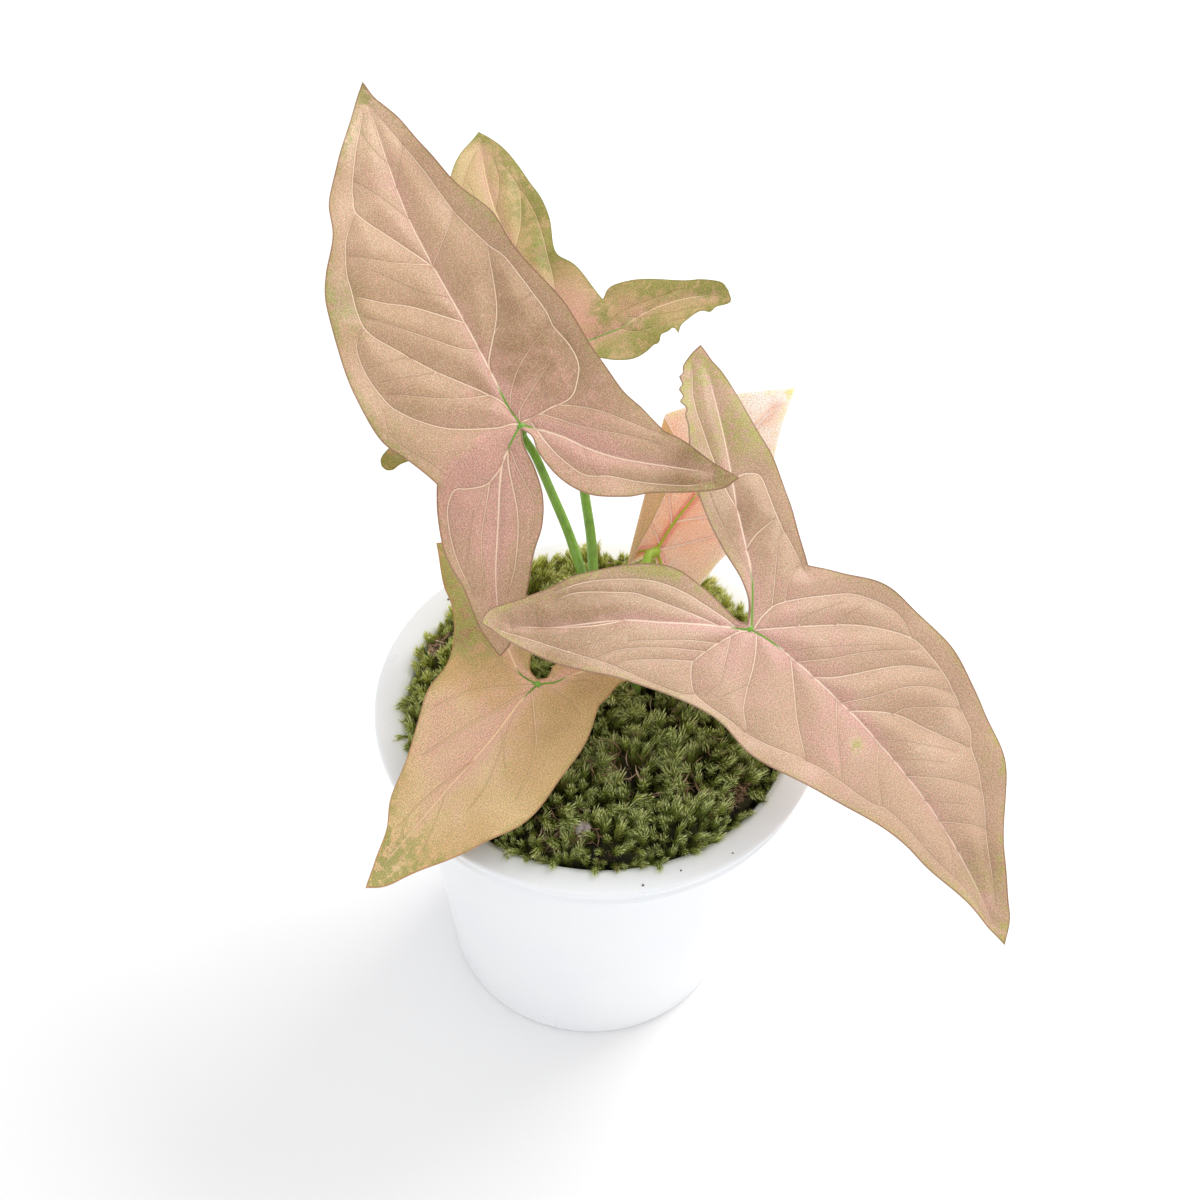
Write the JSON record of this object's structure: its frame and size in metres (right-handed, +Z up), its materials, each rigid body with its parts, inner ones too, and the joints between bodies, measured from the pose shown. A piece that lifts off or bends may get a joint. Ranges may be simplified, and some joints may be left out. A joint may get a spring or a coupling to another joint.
{
  "type": "potted arrowhead plant",
  "caption": "Potted arrowhead plant with pink and bronze arrow-shaped leaves on slender green stalks, rising from a cushion of moss in a round white plastic pot with a rolled collar.",
  "frame": {"origin": "centre of the pot's flat underside", "axes": "+Z up along the pot's axis; -Y is the side that the picture is taken from, with +X to its right"},
  "size_m": [0.1975, 0.2161, 0.2363],
  "materials": {
    "white_plastic": "satin white moulded plastic",
    "dark_soil": "moist peaty potting soil",
    "green_moss": "live moss",
    "fresh_green_stalk": "smooth fleshy leaf stalk",
    "pink_bronze_leaf": "satin leaf, dusty pink over bronze",
    "golden_bronze_leaf": "satin leaf, golden bronze with a pink middle",
    "green_gold_leaf": "satin leaf, olive gold with pink veins",
    "salmon_leaf": "young thin leaf, salmon pink underside"
  },
  "bodies": {
    "root": {"pot": "white_plastic", "soil": "dark_soil", "moss": "green_moss", "upper_leaf_blade": "pink_bronze_leaf", "right_leaf_blade": "pink_bronze_leaf", "low_leaf_blade": "golden_bronze_leaf", "rear_leaf_blade": "green_gold_leaf", "young_leaf_blade": "salmon_leaf", "upper_leaf_stalk": "fresh_green_stalk", "right_leaf_stalk": "fresh_green_stalk", "low_leaf_stalk": "fresh_green_stalk", "rear_leaf_stalk": "fresh_green_stalk", "young_leaf_stalk": "fresh_green_stalk"}
  },
  "joints": []
}
